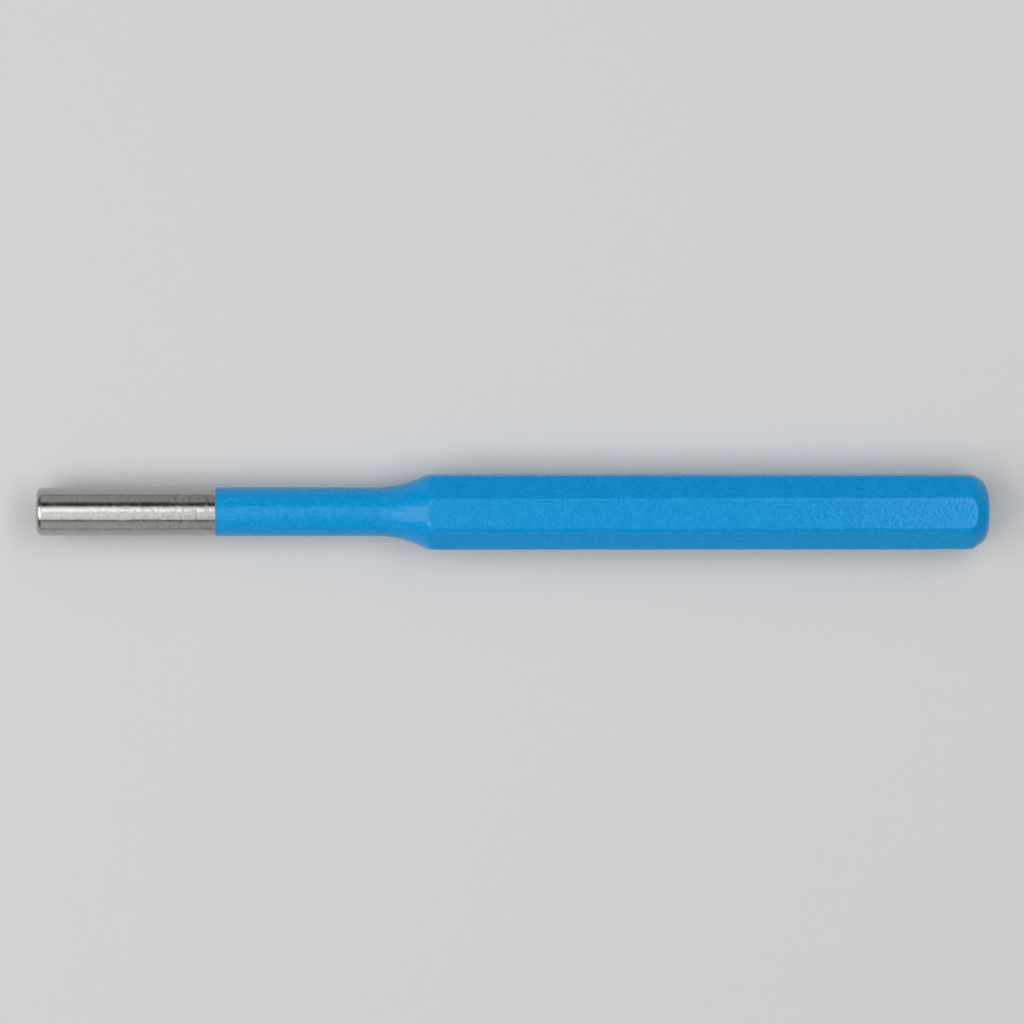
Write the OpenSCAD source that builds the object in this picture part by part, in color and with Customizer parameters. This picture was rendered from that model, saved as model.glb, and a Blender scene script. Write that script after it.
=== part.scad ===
// Parallel pin punch: an octagonal steel bar with a turned pin, under a film of enamel.
// It lies along X on one of its flats with the tip towards -X.
// Lengths are in millimetres, and the origin is on the bench under the middle of the punch.
// The steel is one bar and the enamel one film, each parted where the pin meets the neck.

/* [Overall] */
// Length from the driving tip to the struck end, enamel included
punch_len = 150; // [130:1:200]

/* [Pin] */
// Diameter of the bare steel pin
pin_d = 7.6; // [5:0.1:9]
// Straight length of the pin, from the tip to the start of the neck
pin_len = 53.2; // [40:0.2:70]
// Length of bare ground steel from the tip to the edge of the enamel
bare_tip_len = 28; // [10:0.1:38]
// Radius that breaks the rim of the driving face
tip_rim_r = 0.9; // [0.3:0.1:2]

/* [Neck] */
// Radius of the hollow sweep that leads from the pin up to the shank
neck_sweep_r = 16.7; // [8:0.1:30]

/* [Shank] */
// Width of the steel bar across two opposite flats
shank_af = 11.6; // [10:0.1:15]
// Depth by which the long edges between the flats are rounded off
shank_edge_break = 0.09; // [0.05:0.01:0.3]

/* [Head] */
// Length of the taper at the struck end, measured along a flat
head_taper_len = 2.1; // [1.6:0.1:4]
// Slope of that taper to the axis, in degrees
head_taper_deg = 34; // [20:1:40]
// Radius of the round that joins the taper to the struck face
crown_r = 2.4; // [1:0.1:3.4]
// Angle between the taper and that round where they meet, in degrees
crown_meet_deg = 4; // [2:1:12]

/* [Enamel] */
// Thickness of the enamel film
enamel_t = 0.06; // [0.04:0.01:0.3]

/* [Hidden] */
$fn = 128;
shank_flats = 8;
half_flat_deg = 180 / shank_flats;
pin_r = pin_d / 2;
flat_r = shank_af / 2;
edge_r = flat_r / cos(half_flat_deg) - shank_edge_break;
steel_len = punch_len - enamel_t;
axis_z = flat_r + enamel_t;
taper_start = steel_len - head_taper_len;
crown_start = steel_len - crown_r;
crown_depth = crown_r * cos(crown_meet_deg);
crown_face_r = flat_r
    - (crown_depth + (crown_start - taper_start) * sin(head_taper_deg)) / cos(head_taper_deg);
cut_overrun = pin_d;
steel_colour = [0.74, 0.73, 0.71];
enamel_colour = [0.05, 0.52, 0.79];

// Lays a shape that is built up from the tip along Z down along the punch
module on_axis() {
    translate([-punch_len / 2, 0, axis_z]) rotate([0, 90, 0]) children();
}

// Waste outside the rounded rim of the driving face, as [radius, distance from the tip]
module tip_rim_waste() {
    difference() {
        translate([pin_r - tip_rim_r, 0]) square(tip_rim_r);
        translate([pin_r - tip_rim_r, tip_rim_r]) circle(tip_rim_r);
    }
}

// Region inside the struck face and its round, in the same plane, grown by a film
module crown_outline(film) {
    square([crown_face_r, steel_len + film]);
    translate([crown_face_r, crown_start]) circle(crown_r + film);
    square([edge_r + film, crown_start + (crown_depth + film) * sin(head_taper_deg)]);
}

// Waste beyond the head taper
module taper_waste(film) {
    translate([flat_r, taper_start]) rotate(head_taper_deg)
        translate([film, -shank_af]) square([shank_af, shank_af + shank_af]);
}

// Half section of the neck, the shank and the head as they are turned
module shank_outline(film) {
    difference() {
        intersection() {
            translate([0, pin_len]) square([edge_r + film, punch_len - pin_len]);
            crown_outline(film);
        }
        translate([pin_r + neck_sweep_r, pin_len]) circle(neck_sweep_r - film);
        taper_waste(film);
    }
}

// Octagonal bar that runs past both ends of the punch
module octagonal_bar(film) {
    translate([0, 0, -cut_overrun])
        linear_extrude(height = punch_len + cut_overrun + cut_overrun)
            rotate(half_flat_deg)
                circle(r = (flat_r + film) / cos(half_flat_deg), $fn = shank_flats);
}

// Neck, shank and head as one solid under a given film
module shank_form(film) {
    on_axis() intersection() {
        rotate_extrude() shank_outline(film);
        octagonal_bar(film);
    }
}

module drive_pin() {
    color(steel_colour) on_axis() difference() {
        cylinder(r = pin_r, h = pin_len);
        rotate_extrude() tip_rim_waste();
    }
}

module shank() {
    color(steel_colour) shank_form(0);
}

module pin_enamel() {
    color(enamel_colour) on_axis() translate([0, 0, bare_tip_len]) difference() {
        cylinder(r = pin_r + enamel_t, h = pin_len - bare_tip_len);
        translate([0, 0, -cut_overrun]) cylinder(r = pin_r, h = pin_len + cut_overrun);
    }
}

module shank_enamel() {
    color(enamel_colour) difference() {
        shank_form(enamel_t);
        shank_form(0);
    }
}

drive_pin();
shank();
pin_enamel();
shank_enamel();
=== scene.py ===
import math

import bmesh
import bpy
from mathutils import Matrix, Vector


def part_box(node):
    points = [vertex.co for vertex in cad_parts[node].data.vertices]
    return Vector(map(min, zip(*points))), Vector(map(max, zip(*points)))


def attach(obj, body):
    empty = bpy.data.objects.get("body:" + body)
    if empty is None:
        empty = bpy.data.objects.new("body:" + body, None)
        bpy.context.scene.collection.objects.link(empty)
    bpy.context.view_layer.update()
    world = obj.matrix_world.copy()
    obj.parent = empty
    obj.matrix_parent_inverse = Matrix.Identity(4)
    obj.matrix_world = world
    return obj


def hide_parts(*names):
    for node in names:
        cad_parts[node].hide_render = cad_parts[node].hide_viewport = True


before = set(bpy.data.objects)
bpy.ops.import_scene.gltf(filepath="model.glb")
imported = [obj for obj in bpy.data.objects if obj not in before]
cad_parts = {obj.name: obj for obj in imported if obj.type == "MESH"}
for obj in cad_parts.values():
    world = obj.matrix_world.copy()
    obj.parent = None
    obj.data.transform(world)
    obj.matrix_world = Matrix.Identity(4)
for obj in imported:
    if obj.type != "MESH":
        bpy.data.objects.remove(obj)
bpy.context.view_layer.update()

MM = 0.001
FULL_TURN = 2 * math.pi
QUARTER_TURN = math.pi / 2
LENGTHWISE = Vector((1, 0, 0))
ACROSS = Vector((0, 1, 0))
UPWARD = Vector((0, 0, 1))

# Sizes of the steel bar and its enamel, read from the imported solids
pin_low, pin_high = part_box("drive_pin")
bar_low, bar_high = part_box("shank")
enamel_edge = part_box("pin_enamel")[0].x
enamel_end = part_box("shank_enamel")[1].x
tip_x, neck_x, head_x = pin_low.x, pin_high.x, bar_high.x
film = enamel_end - head_x
pin_r = (pin_high.z - pin_low.z) / 2
flat_r = (bar_high.z - bar_low.z) / 2
axis_z = (bar_high.z + bar_low.z) / 2
axis_point = Vector((0, 0, axis_z))

# Turned forms that a box does not give
tip_rim_r = 0.9 * MM
neck_sweep_r = 16.7 * MM
taper_len = 2.1 * MM
taper_slope = math.radians(34)
crown_r = 2.4 * MM
crown_meet = math.radians(4)

# The round blank, which stands past the octagon until its flats are ground
hollow_r = 5.3 * MM
blank_r = 7.2 * MM
hollow_turn = math.acos(1 - (hollow_r - pin_r) / neck_sweep_r)
sweep_turn = math.acos(1 - (blank_r - pin_r) / neck_sweep_r)
blank_x = neck_x + neck_sweep_r * math.sin(sweep_turn)
taper_x = head_x - taper_len - (blank_r - flat_r) / math.tan(taper_slope)

# The flats, and how crisply faces meet: a higher number is a sharper edge
flat_count = 8
long_edge_sharpness = 75
head_edge_sharpness = 25
head_wear_len = 9 * MM
neck_meeting_sharpness = 90
head_meeting_sharpness = 60
unground_core_r = 1 * MM

# Rings of the mesh, closer together where faces meet
rings_round = 192
face_cuts = 5
tip_rim_steps = 12
first_pin_spans = (0.05 * MM, 0.3 * MM)
pin_cuts = 11
hollow_steps = 24
flare_steps = 40
shank_shares_and_cuts = ((0.01, 3), (0.99, 15), (1, 3))
taper_cuts = 36
crown_steps = 18
merge_reach = 0.001 * MM


def on_outline(x, r):
    """A point of the half outline, at x along the punch and r above its axis."""
    return Vector((x, 0, axis_z + r))


def draw_line(bm, vert, end, cuts=0):
    """Carries the outline on from vert in a straight line, with cuts rings on the way."""
    step = (end - vert.co) / (cuts + 1)
    for _ in range(cuts + 1):
        vert, = bmesh.ops.extrude_vert_indiv(bm, verts=[vert])["verts"]
        bmesh.ops.translate(bm, verts=[vert], vec=step)
    return vert


def draw_arc(bm, vert, centre, turn, steps):
    """Carries the outline on from vert round a centre, by an angle about the cross axis."""
    swept = bmesh.ops.spin(bm, geom=[vert], cent=centre, axis=ACROSS, angle=turn, steps=steps)
    return next(item for item in swept["geom_last"] if isinstance(item, bmesh.types.BMVert))


def draw_tip(bm):
    """The driving face and its rounded rim, up to the side of the pin."""
    vert = bm.verts.new(on_outline(tip_x, 0))
    vert = draw_line(bm, vert, on_outline(tip_x, pin_r - tip_rim_r), face_cuts)
    rim_centre = on_outline(tip_x + tip_rim_r, pin_r - tip_rim_r)
    return draw_arc(bm, vert, rim_centre, QUARTER_TURN, tip_rim_steps)


def draw_pin_and_neck(bm, vert):
    """The side of the pin and the hollow sweep of the neck, out to the blank."""
    for span in first_pin_spans:
        vert = draw_line(bm, vert, vert.co + span * LENGTHWISE)
    vert = draw_line(bm, vert, on_outline(neck_x, pin_r), pin_cuts)
    sweep_centre = on_outline(neck_x, pin_r + neck_sweep_r)
    vert = draw_arc(bm, vert, sweep_centre, -hollow_turn, hollow_steps)
    return draw_arc(bm, vert, sweep_centre, hollow_turn - sweep_turn, flare_steps)


def draw_shank(bm, vert):
    """The side of the blank, from the neck to the head taper."""
    for share, cuts in shank_shares_and_cuts:
        x = blank_x + (taper_x - blank_x) * share
        vert = draw_line(bm, vert, on_outline(x, blank_r), cuts)
    return vert


def draw_head(bm, vert):
    """The head taper, the round of the crown and the struck face, in to the axis."""
    crown_x = head_x - crown_r
    crown_depth = crown_r * math.cos(crown_meet)
    crown_rise = (crown_x - head_x + taper_len) * math.sin(taper_slope)
    face_r = flat_r - (crown_depth + crown_rise) / math.cos(taper_slope)
    crown_centre = on_outline(crown_x, face_r)
    crown_turn = QUARTER_TURN - taper_slope - crown_meet
    outwards = Vector((math.cos(crown_turn), 0, math.sin(crown_turn)))
    vert = draw_line(bm, vert, crown_centre + crown_r * outwards, taper_cuts)
    vert = draw_arc(bm, vert, crown_centre, crown_turn, crown_steps)
    draw_line(bm, vert, on_outline(head_x, 0), face_cuts)


def spin_outline(bm, centre, axis, steps):
    """Spins the half outline a full turn about an axis."""
    bmesh.ops.spin(bm, geom=bm.verts[:] + bm.edges[:], cent=centre, axis=axis,
                   angle=FULL_TURN, steps=steps, use_merge=True)


def grind_flats(bm):
    """Presses the turned blank in to its flats, with a soft edge wherever two faces meet."""
    flats = [FULL_TURN * k / flat_count for k in range(flat_count)]
    for vert in bm.verts:
        y, z = vert.co.y, vert.co.z - axis_z
        r = math.hypot(y, z)
        if r < unground_core_r:
            continue
        angle = math.atan2(y, z)
        wear = min(1, max(0, 1 - (head_x - taper_len - vert.co.x) / head_wear_len))
        sharpness = long_edge_sharpness + (head_edge_sharpness - long_edge_sharpness) * wear
        across = sum(max(0, math.cos(angle - flat)) ** sharpness for flat in flats)
        excess = r / flat_r * across ** (1 / sharpness)
        meeting = head_meeting_sharpness if vert.co.x > 0 else neck_meeting_sharpness
        press = (1 + excess ** meeting) ** (-1 / meeting)
        vert.co.y, vert.co.z = y * press, axis_z + z * press


def close_mesh(bm):
    """Merges the doubled points at the poles, then points every face outwards."""
    bmesh.ops.remove_doubles(bm, verts=bm.verts[:], dist=merge_reach)
    bmesh.ops.recalc_face_normals(bm, faces=bm.faces[:])


def turn_and_grind(bm, vert):
    """Draws the outline on from the side of the pin, turns it and grinds the flats."""
    draw_head(bm, draw_shank(bm, draw_pin_and_neck(bm, vert)))
    spin_outline(bm, axis_point, LENGTHWISE, rings_round)
    grind_flats(bm)
    close_mesh(bm)


def finish_piece(bm, name, material):
    """Makes the mesh a smooth-shaded object with one material."""
    for face in bm.faces:
        face.smooth = True
    mesh = bpy.data.meshes.new(name)
    bm.to_mesh(mesh)
    bm.free()
    mesh.materials.append(material)
    piece = bpy.data.objects.new(name, mesh)
    bpy.context.scene.collection.objects.link(piece)
    return piece


class Nodes:
    """A node tree that is filled by naming each node's inputs."""

    def __init__(self, tree):
        self.tree = tree
        tree.nodes.clear()

    def add(self, kind, inputs=None, **settings):
        """Adds a node. Each input is either a socket to link or a plain value."""
        node = self.tree.nodes.new(kind)
        for key, value in settings.items():
            setattr(node, key, value)
        for key, value in (inputs or {}).items():
            if isinstance(value, bpy.types.NodeSocket):
                self.tree.links.new(value, node.inputs[key])
            else:
                node.inputs[key].default_value = value
        return node

    def work_out(self, operation, *values, **settings):
        """Adds a Math node and gives its result."""
        inputs = dict(enumerate(values))
        return self.add("ShaderNodeMath", inputs, operation=operation, **settings).outputs[0]


def mix_colours(nodes, share, first, second):
    """Mixes two colours, which are plain values or sockets, by a share or a mask."""
    mixed = nodes.add("ShaderNodeMix", {"Factor": share}, data_type="RGBA")
    colour_inputs = [socket for socket in mixed.inputs if socket.type == "RGBA"]
    for socket, value in zip(colour_inputs, (first, second)):
        if isinstance(value, bpy.types.NodeSocket):
            nodes.tree.links.new(value, socket)
        else:
            socket.default_value = (*value, 1)
    return next(socket for socket in mixed.outputs if socket.type == "RGBA")


def spread(nodes, value, low, high, start=0.0, end=1.0):
    """Lays a value that runs from start to end between low and high."""
    laid = nodes.add("ShaderNodeMapRange", {
        "Value": value, "From Min": start, "From Max": end, "To Min": low, "To Max": high,
    })
    return laid.outputs["Result"]


def make_fine_grain():
    """Two sizes of grain in one mask, and a height that is smooth within each grain."""
    fine_detail, broad_detail, height_detail = 2.5, 2.0, 0.5
    broad_ratio, broad_share = 0.31, 0.35
    noise_mean = 0.5
    group = bpy.data.node_groups.new("fine_grain", "ShaderNodeTree")
    for name, kind in (("Vector", "NodeSocketVector"), ("Scale", "NodeSocketFloat"),
                       ("Contrast", "NodeSocketFloat")):
        group.interface.new_socket(name=name, in_out="INPUT", socket_type=kind)
    for name in ("Mask", "Height"):
        group.interface.new_socket(name=name, in_out="OUTPUT", socket_type="NodeSocketFloat")
    nodes = Nodes(group)
    given = nodes.add("NodeGroupInput").outputs

    def add_noise(scale, detail):
        inputs = {"Vector": given["Vector"], "Scale": scale, "Detail": detail}
        return nodes.add("ShaderNodeTexNoise", inputs).outputs["Fac"]

    fine = add_noise(given["Scale"], fine_detail)
    broad = add_noise(nodes.work_out("MULTIPLY", given["Scale"], broad_ratio), broad_detail)
    both = nodes.work_out("MULTIPLY_ADD", broad, broad_share, fine)
    centred = nodes.work_out("SUBTRACT", both, noise_mean + noise_mean * broad_share)
    mask = nodes.work_out("MULTIPLY_ADD", centred, given["Contrast"], noise_mean, use_clamp=True)
    height = add_noise(given["Scale"], height_detail)
    nodes.add("NodeGroupOutput", {"Mask": mask, "Height": height})
    return group


def add_grain(nodes, grain, vector, scale, contrast=1.0):
    """Places the grain in a material and gives its mask and height. Contrast bears on the mask."""
    inputs = {"Vector": vector, "Scale": scale, "Contrast": contrast}
    return nodes.add("ShaderNodeGroup", inputs, node_tree=grain).outputs


def start_material(name):
    """A new material, its nodes, and the place on the piece that its patterns read."""
    material = bpy.data.materials.new(name)
    material.use_nodes = True
    nodes = Nodes(material.node_tree)
    place = nodes.add("ShaderNodeTexCoord").outputs["Object"]
    return material, nodes, place


def close_material(nodes, inputs):
    """Ends a material in one shader with these inputs."""
    shader = nodes.add("ShaderNodeBsdfPrincipled", inputs)
    nodes.add("ShaderNodeOutputMaterial", {"Surface": shader.outputs["BSDF"]})


def make_blue_enamel(grain):
    """Sprayed blue enamel: fine mottle, a slow drift of tone and a shallow orange peel."""
    mottle_blues = (0.0, 0.252, 0.608), (0.004, 0.336, 0.720)
    drift_blues = (0.0, 0.278, 0.642), (0.001, 0.297, 0.671)
    drift_share = 0.3
    least_rough, most_rough = 0.16, 0.23
    material, nodes, place = start_material("blue_enamel")
    mottle = add_grain(nodes, grain, place, scale=2400, contrast=3.4)
    drift = add_grain(nodes, grain, place, scale=190, contrast=1.2)
    dimples = add_grain(nodes, grain, place, scale=1700)
    fine_tone = mix_colours(nodes, mottle["Mask"], *mottle_blues)
    slow_tone = mix_colours(nodes, drift["Mask"], *drift_blues)
    peel = nodes.add("ShaderNodeBump", {
        "Height": dimples["Height"], "Strength": 0.4, "Distance": 0.1 * MM,
    })
    close_material(nodes, {
        "Base Color": mix_colours(nodes, drift_share, fine_tone, slow_tone),
        "Roughness": spread(nodes, mottle["Mask"], least_rough, most_rough),
        "IOR": 1.34,
        "Normal": peel.outputs["Normal"],
    })
    return material


def make_ground_steel(grain):
    """Bare tool steel: fine grinding marks round the pin over a grainy, faintly warm grey."""
    steel_greys = (0.40, 0.39, 0.376), (0.54, 0.53, 0.51)
    round_the_pin = (1, 0.6, 0.6)
    least_rough, most_rough = 0.12, 0.24
    smooth_until, uneven_from = tip_x + 6 * MM, tip_x + 14 * MM
    least_uneven, most_uneven = 0.25, 1.0
    material, nodes, place = start_material("ground_steel")
    wrapped = nodes.add("ShaderNodeMapping", {"Vector": place, "Scale": round_the_pin})
    marks = add_grain(nodes, grain, wrapped.outputs["Vector"], scale=2800, contrast=1.8)
    speckle = add_grain(nodes, grain, place, scale=1800, contrast=1.8)
    wander = add_grain(nodes, grain, place, scale=1100)
    both = nodes.work_out("MULTIPLY", marks["Mask"], speckle["Mask"])
    along = nodes.add("ShaderNodeSeparateXYZ", {"Vector": place}).outputs["X"]
    uneven = spread(nodes, along, least_uneven, most_uneven, smooth_until, uneven_from)
    swell = nodes.add("ShaderNodeBump", {
        "Height": wander["Height"], "Strength": uneven, "Distance": 0.024 * MM,
    })
    grit = nodes.add("ShaderNodeBump", {
        "Height": speckle["Height"], "Strength": uneven, "Distance": 0.013 * MM,
        "Normal": swell.outputs["Normal"],
    })
    close_material(nodes, {
        "Base Color": mix_colours(nodes, both, *steel_greys),
        "Metallic": 1.0,
        "Roughness": spread(nodes, speckle["Mask"], least_rough, most_rough),
        "Normal": grit.outputs["Normal"],
    })
    return material


def make_dull_grey(name, grain, scale, dark, pale, roughness):
    """A dull neutral grey with a faint grain, for what stands round the punch."""
    material, nodes, place = start_material(name)
    tooth = add_grain(nodes, grain, place, scale)
    tone = mix_colours(nodes, tooth["Mask"], (dark, dark, dark), (pale, pale, pale))
    close_material(nodes, {"Base Color": tone, "Roughness": roughness})
    return material


def make_steel_bar(material):
    """The bar in one piece, from the driving face to the struck face."""
    bm = bmesh.new()
    turn_and_grind(bm, draw_tip(bm))
    piece = finish_piece(bm, "steel_bar", material)
    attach(piece, "root")
    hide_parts("drive_pin", "shank")


def make_enamel_film(material):
    """The film over the bar, from its edge on the pin to the struck face."""
    bm = bmesh.new()
    turn_and_grind(bm, bm.verts.new(on_outline(enamel_edge, pin_r)))
    bmesh.ops.solidify(bm, geom=bm.faces[:], thickness=-film)
    piece = finish_piece(bm, "enamel_film", material)
    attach(piece, "root")
    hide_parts("pin_enamel", "shank_enamel")


def lay_floor(material):
    """A pale floor with a low cove round its edge."""
    floor_r, cove_r = 3.0, 0.25
    floor_cuts, cove_steps, steps_round = 3, 16, 96
    middle = Vector((0, 0, 0))
    bm = bmesh.new()
    vert = draw_line(bm, bm.verts.new(middle), Vector((floor_r, 0, 0)), floor_cuts)
    draw_arc(bm, vert, Vector((floor_r, 0, cove_r)), -QUARTER_TURN, cove_steps)
    spin_outline(bm, middle, UPWARD, steps_round)
    close_mesh(bm)
    finish_piece(bm, "floor", material)


softbox_height = 0.65


def width_of(span):
    """The distance from the low end of a span to its high end."""
    return span[1] - span[0]


def middle_of(span):
    """The point half way along a span."""
    return sum(span) / 2


def make_lamp(name, width, length, radiance):
    """A rectangular lamp that is evenly bright and hidden from the camera."""
    lamp = bpy.data.lights.new(name, "AREA")
    lamp.shape = "RECTANGLE"
    lamp.size, lamp.size_y = width, length
    lamp.energy = radiance * math.pi * lamp.size * lamp.size_y
    holder = bpy.data.objects.new(name, lamp)
    holder.visible_camera = False
    bpy.context.scene.collection.objects.link(holder)
    return holder


def hang_panel(name, x_span, y_span, radiance, drop=0):
    """One panel of the softbox overhead, which faces straight down."""
    panel = make_lamp(name, width_of(x_span), width_of(y_span), radiance)
    panel.location = (middle_of(x_span), middle_of(y_span), softbox_height - drop)


def stand_card(name, centre, width, height, radiance):
    """A bright card that stands on edge and faces the middle of the punch."""
    card = make_lamp(name, width, height, radiance)
    card.location = centre
    card.rotation_euler = (QUARTER_TURN, 0, math.atan2(centre[0], -centre[1]))


def hang_skirt(name, x_span, y_span, material):
    """A dark cloth skirt beside the softbox."""
    bm = bmesh.new()
    bmesh.ops.create_grid(bm, x_segments=1, y_segments=1, size=0.5)
    size = (width_of(x_span), width_of(y_span), 1)
    place = (middle_of(x_span), middle_of(y_span), softbox_height)
    bmesh.ops.scale(bm, verts=bm.verts[:], vec=size)
    bmesh.ops.translate(bm, verts=bm.verts[:], vec=place)
    skirt = finish_piece(bm, name, material)
    skirt.visible_camera = False


def light_studio(cloth):
    """A softbox overhead that is dim over the shank, with a skirt beyond it and cards round it."""
    left, wing, tip_left, strip_right, pin_left = -1.2, -0.35, -0.2, -0.06, -0.04
    gap_left, dim_right, gap_right, head_right, right = -0.008, 0.115, 0.168, 0.3, 0.5
    near, gap_far, far = -0.455, 0.14, 0.337
    skirt_near, skirt_far = far + 0.01, 0.62
    hang_panel("left_wing", (left, wing), (-0.5, 0.36), radiance=2.5)
    hang_panel("left_panel", (wing, tip_left), (-0.32, 0.05), radiance=2.5)
    hang_panel("tip_panel", (tip_left, pin_left), (near, far), radiance=1.25)
    hang_panel("tip_strip", (tip_left, strip_right), (0.05, 0.2), radiance=1.1, drop=0.01)
    hang_panel("pin_panel", (pin_left, gap_left), (-0.14, 0.0), radiance=1.4)
    hang_panel("gap_panel", (gap_left, dim_right), (-0.25, gap_far), radiance=0.2)
    hang_panel("head_panel", (gap_right, head_right), (-0.4, 1.3), radiance=2.65)
    hang_panel("right_panel", (head_right, right), (-0.25, 0.46), radiance=3.2)
    hang_panel("far_panel", (gap_left, gap_right), (gap_far, far), radiance=1.6)
    hang_skirt("far_skirt", (wing, gap_right), (skirt_near, skirt_far), cloth)
    stand_card("far_card", (-0.17, 0.64, 0.3), width=0.24, height=0.52, radiance=0.39)
    stand_card("near_card", (-0.15, -0.53, 0.30), width=0.22, height=0.53, radiance=0.52)
    stand_card("left_card", (left - 0.1, 0, 0.33), width=0.8, height=0.6, radiance=1.2)


def fill_air():
    """A faint light from all sides."""
    world = bpy.data.worlds.new("studio_air")
    world.use_nodes = True
    nodes = Nodes(world.node_tree)
    air = nodes.add("ShaderNodeBackground", {"Color": (1, 1, 1, 1), "Strength": 0.12})
    nodes.add("ShaderNodeOutputWorld", {"Surface": air.outputs["Background"]})
    bpy.context.scene.world = world


def set_camera():
    """Looks down on the punch from over the painted pin, a little to its far side."""
    distance, sideways = 0.70, 0.030
    lean, swing = math.radians(3.7), math.atan(sideways / distance)
    aim_nearer, aim_left = 0.05 * MM, 0.32 * MM
    turn = Matrix.Rotation(-lean, 4, "X") @ Matrix.Rotation(-swing, 4, "Y")
    target = axis_point - turn @ ACROSS * aim_nearer - LENGTHWISE * aim_left
    camera = bpy.data.cameras.new("camera")
    camera.sensor_width = 36
    camera.lens = 155.96
    camera.clip_start, camera.clip_end = 0.05, 20
    holder = bpy.data.objects.new("camera", camera)
    holder.matrix_world = Matrix.Translation(target + turn @ UPWARD * distance) @ turn
    bpy.context.scene.collection.objects.link(holder)
    bpy.context.scene.camera = holder


fine_grain = make_fine_grain()
make_steel_bar(make_ground_steel(fine_grain))
make_enamel_film(make_blue_enamel(fine_grain))
lay_floor(make_dull_grey("floor_paper", fine_grain, scale=900,
                         dark=0.635, pale=0.655, roughness=0.9))
light_studio(make_dull_grey("skirt_cloth", fine_grain, scale=700,
                            dark=0.015, pale=0.03, roughness=1.0))
fill_air()
set_camera()
bpy.context.scene.view_settings.view_transform = "Standard"
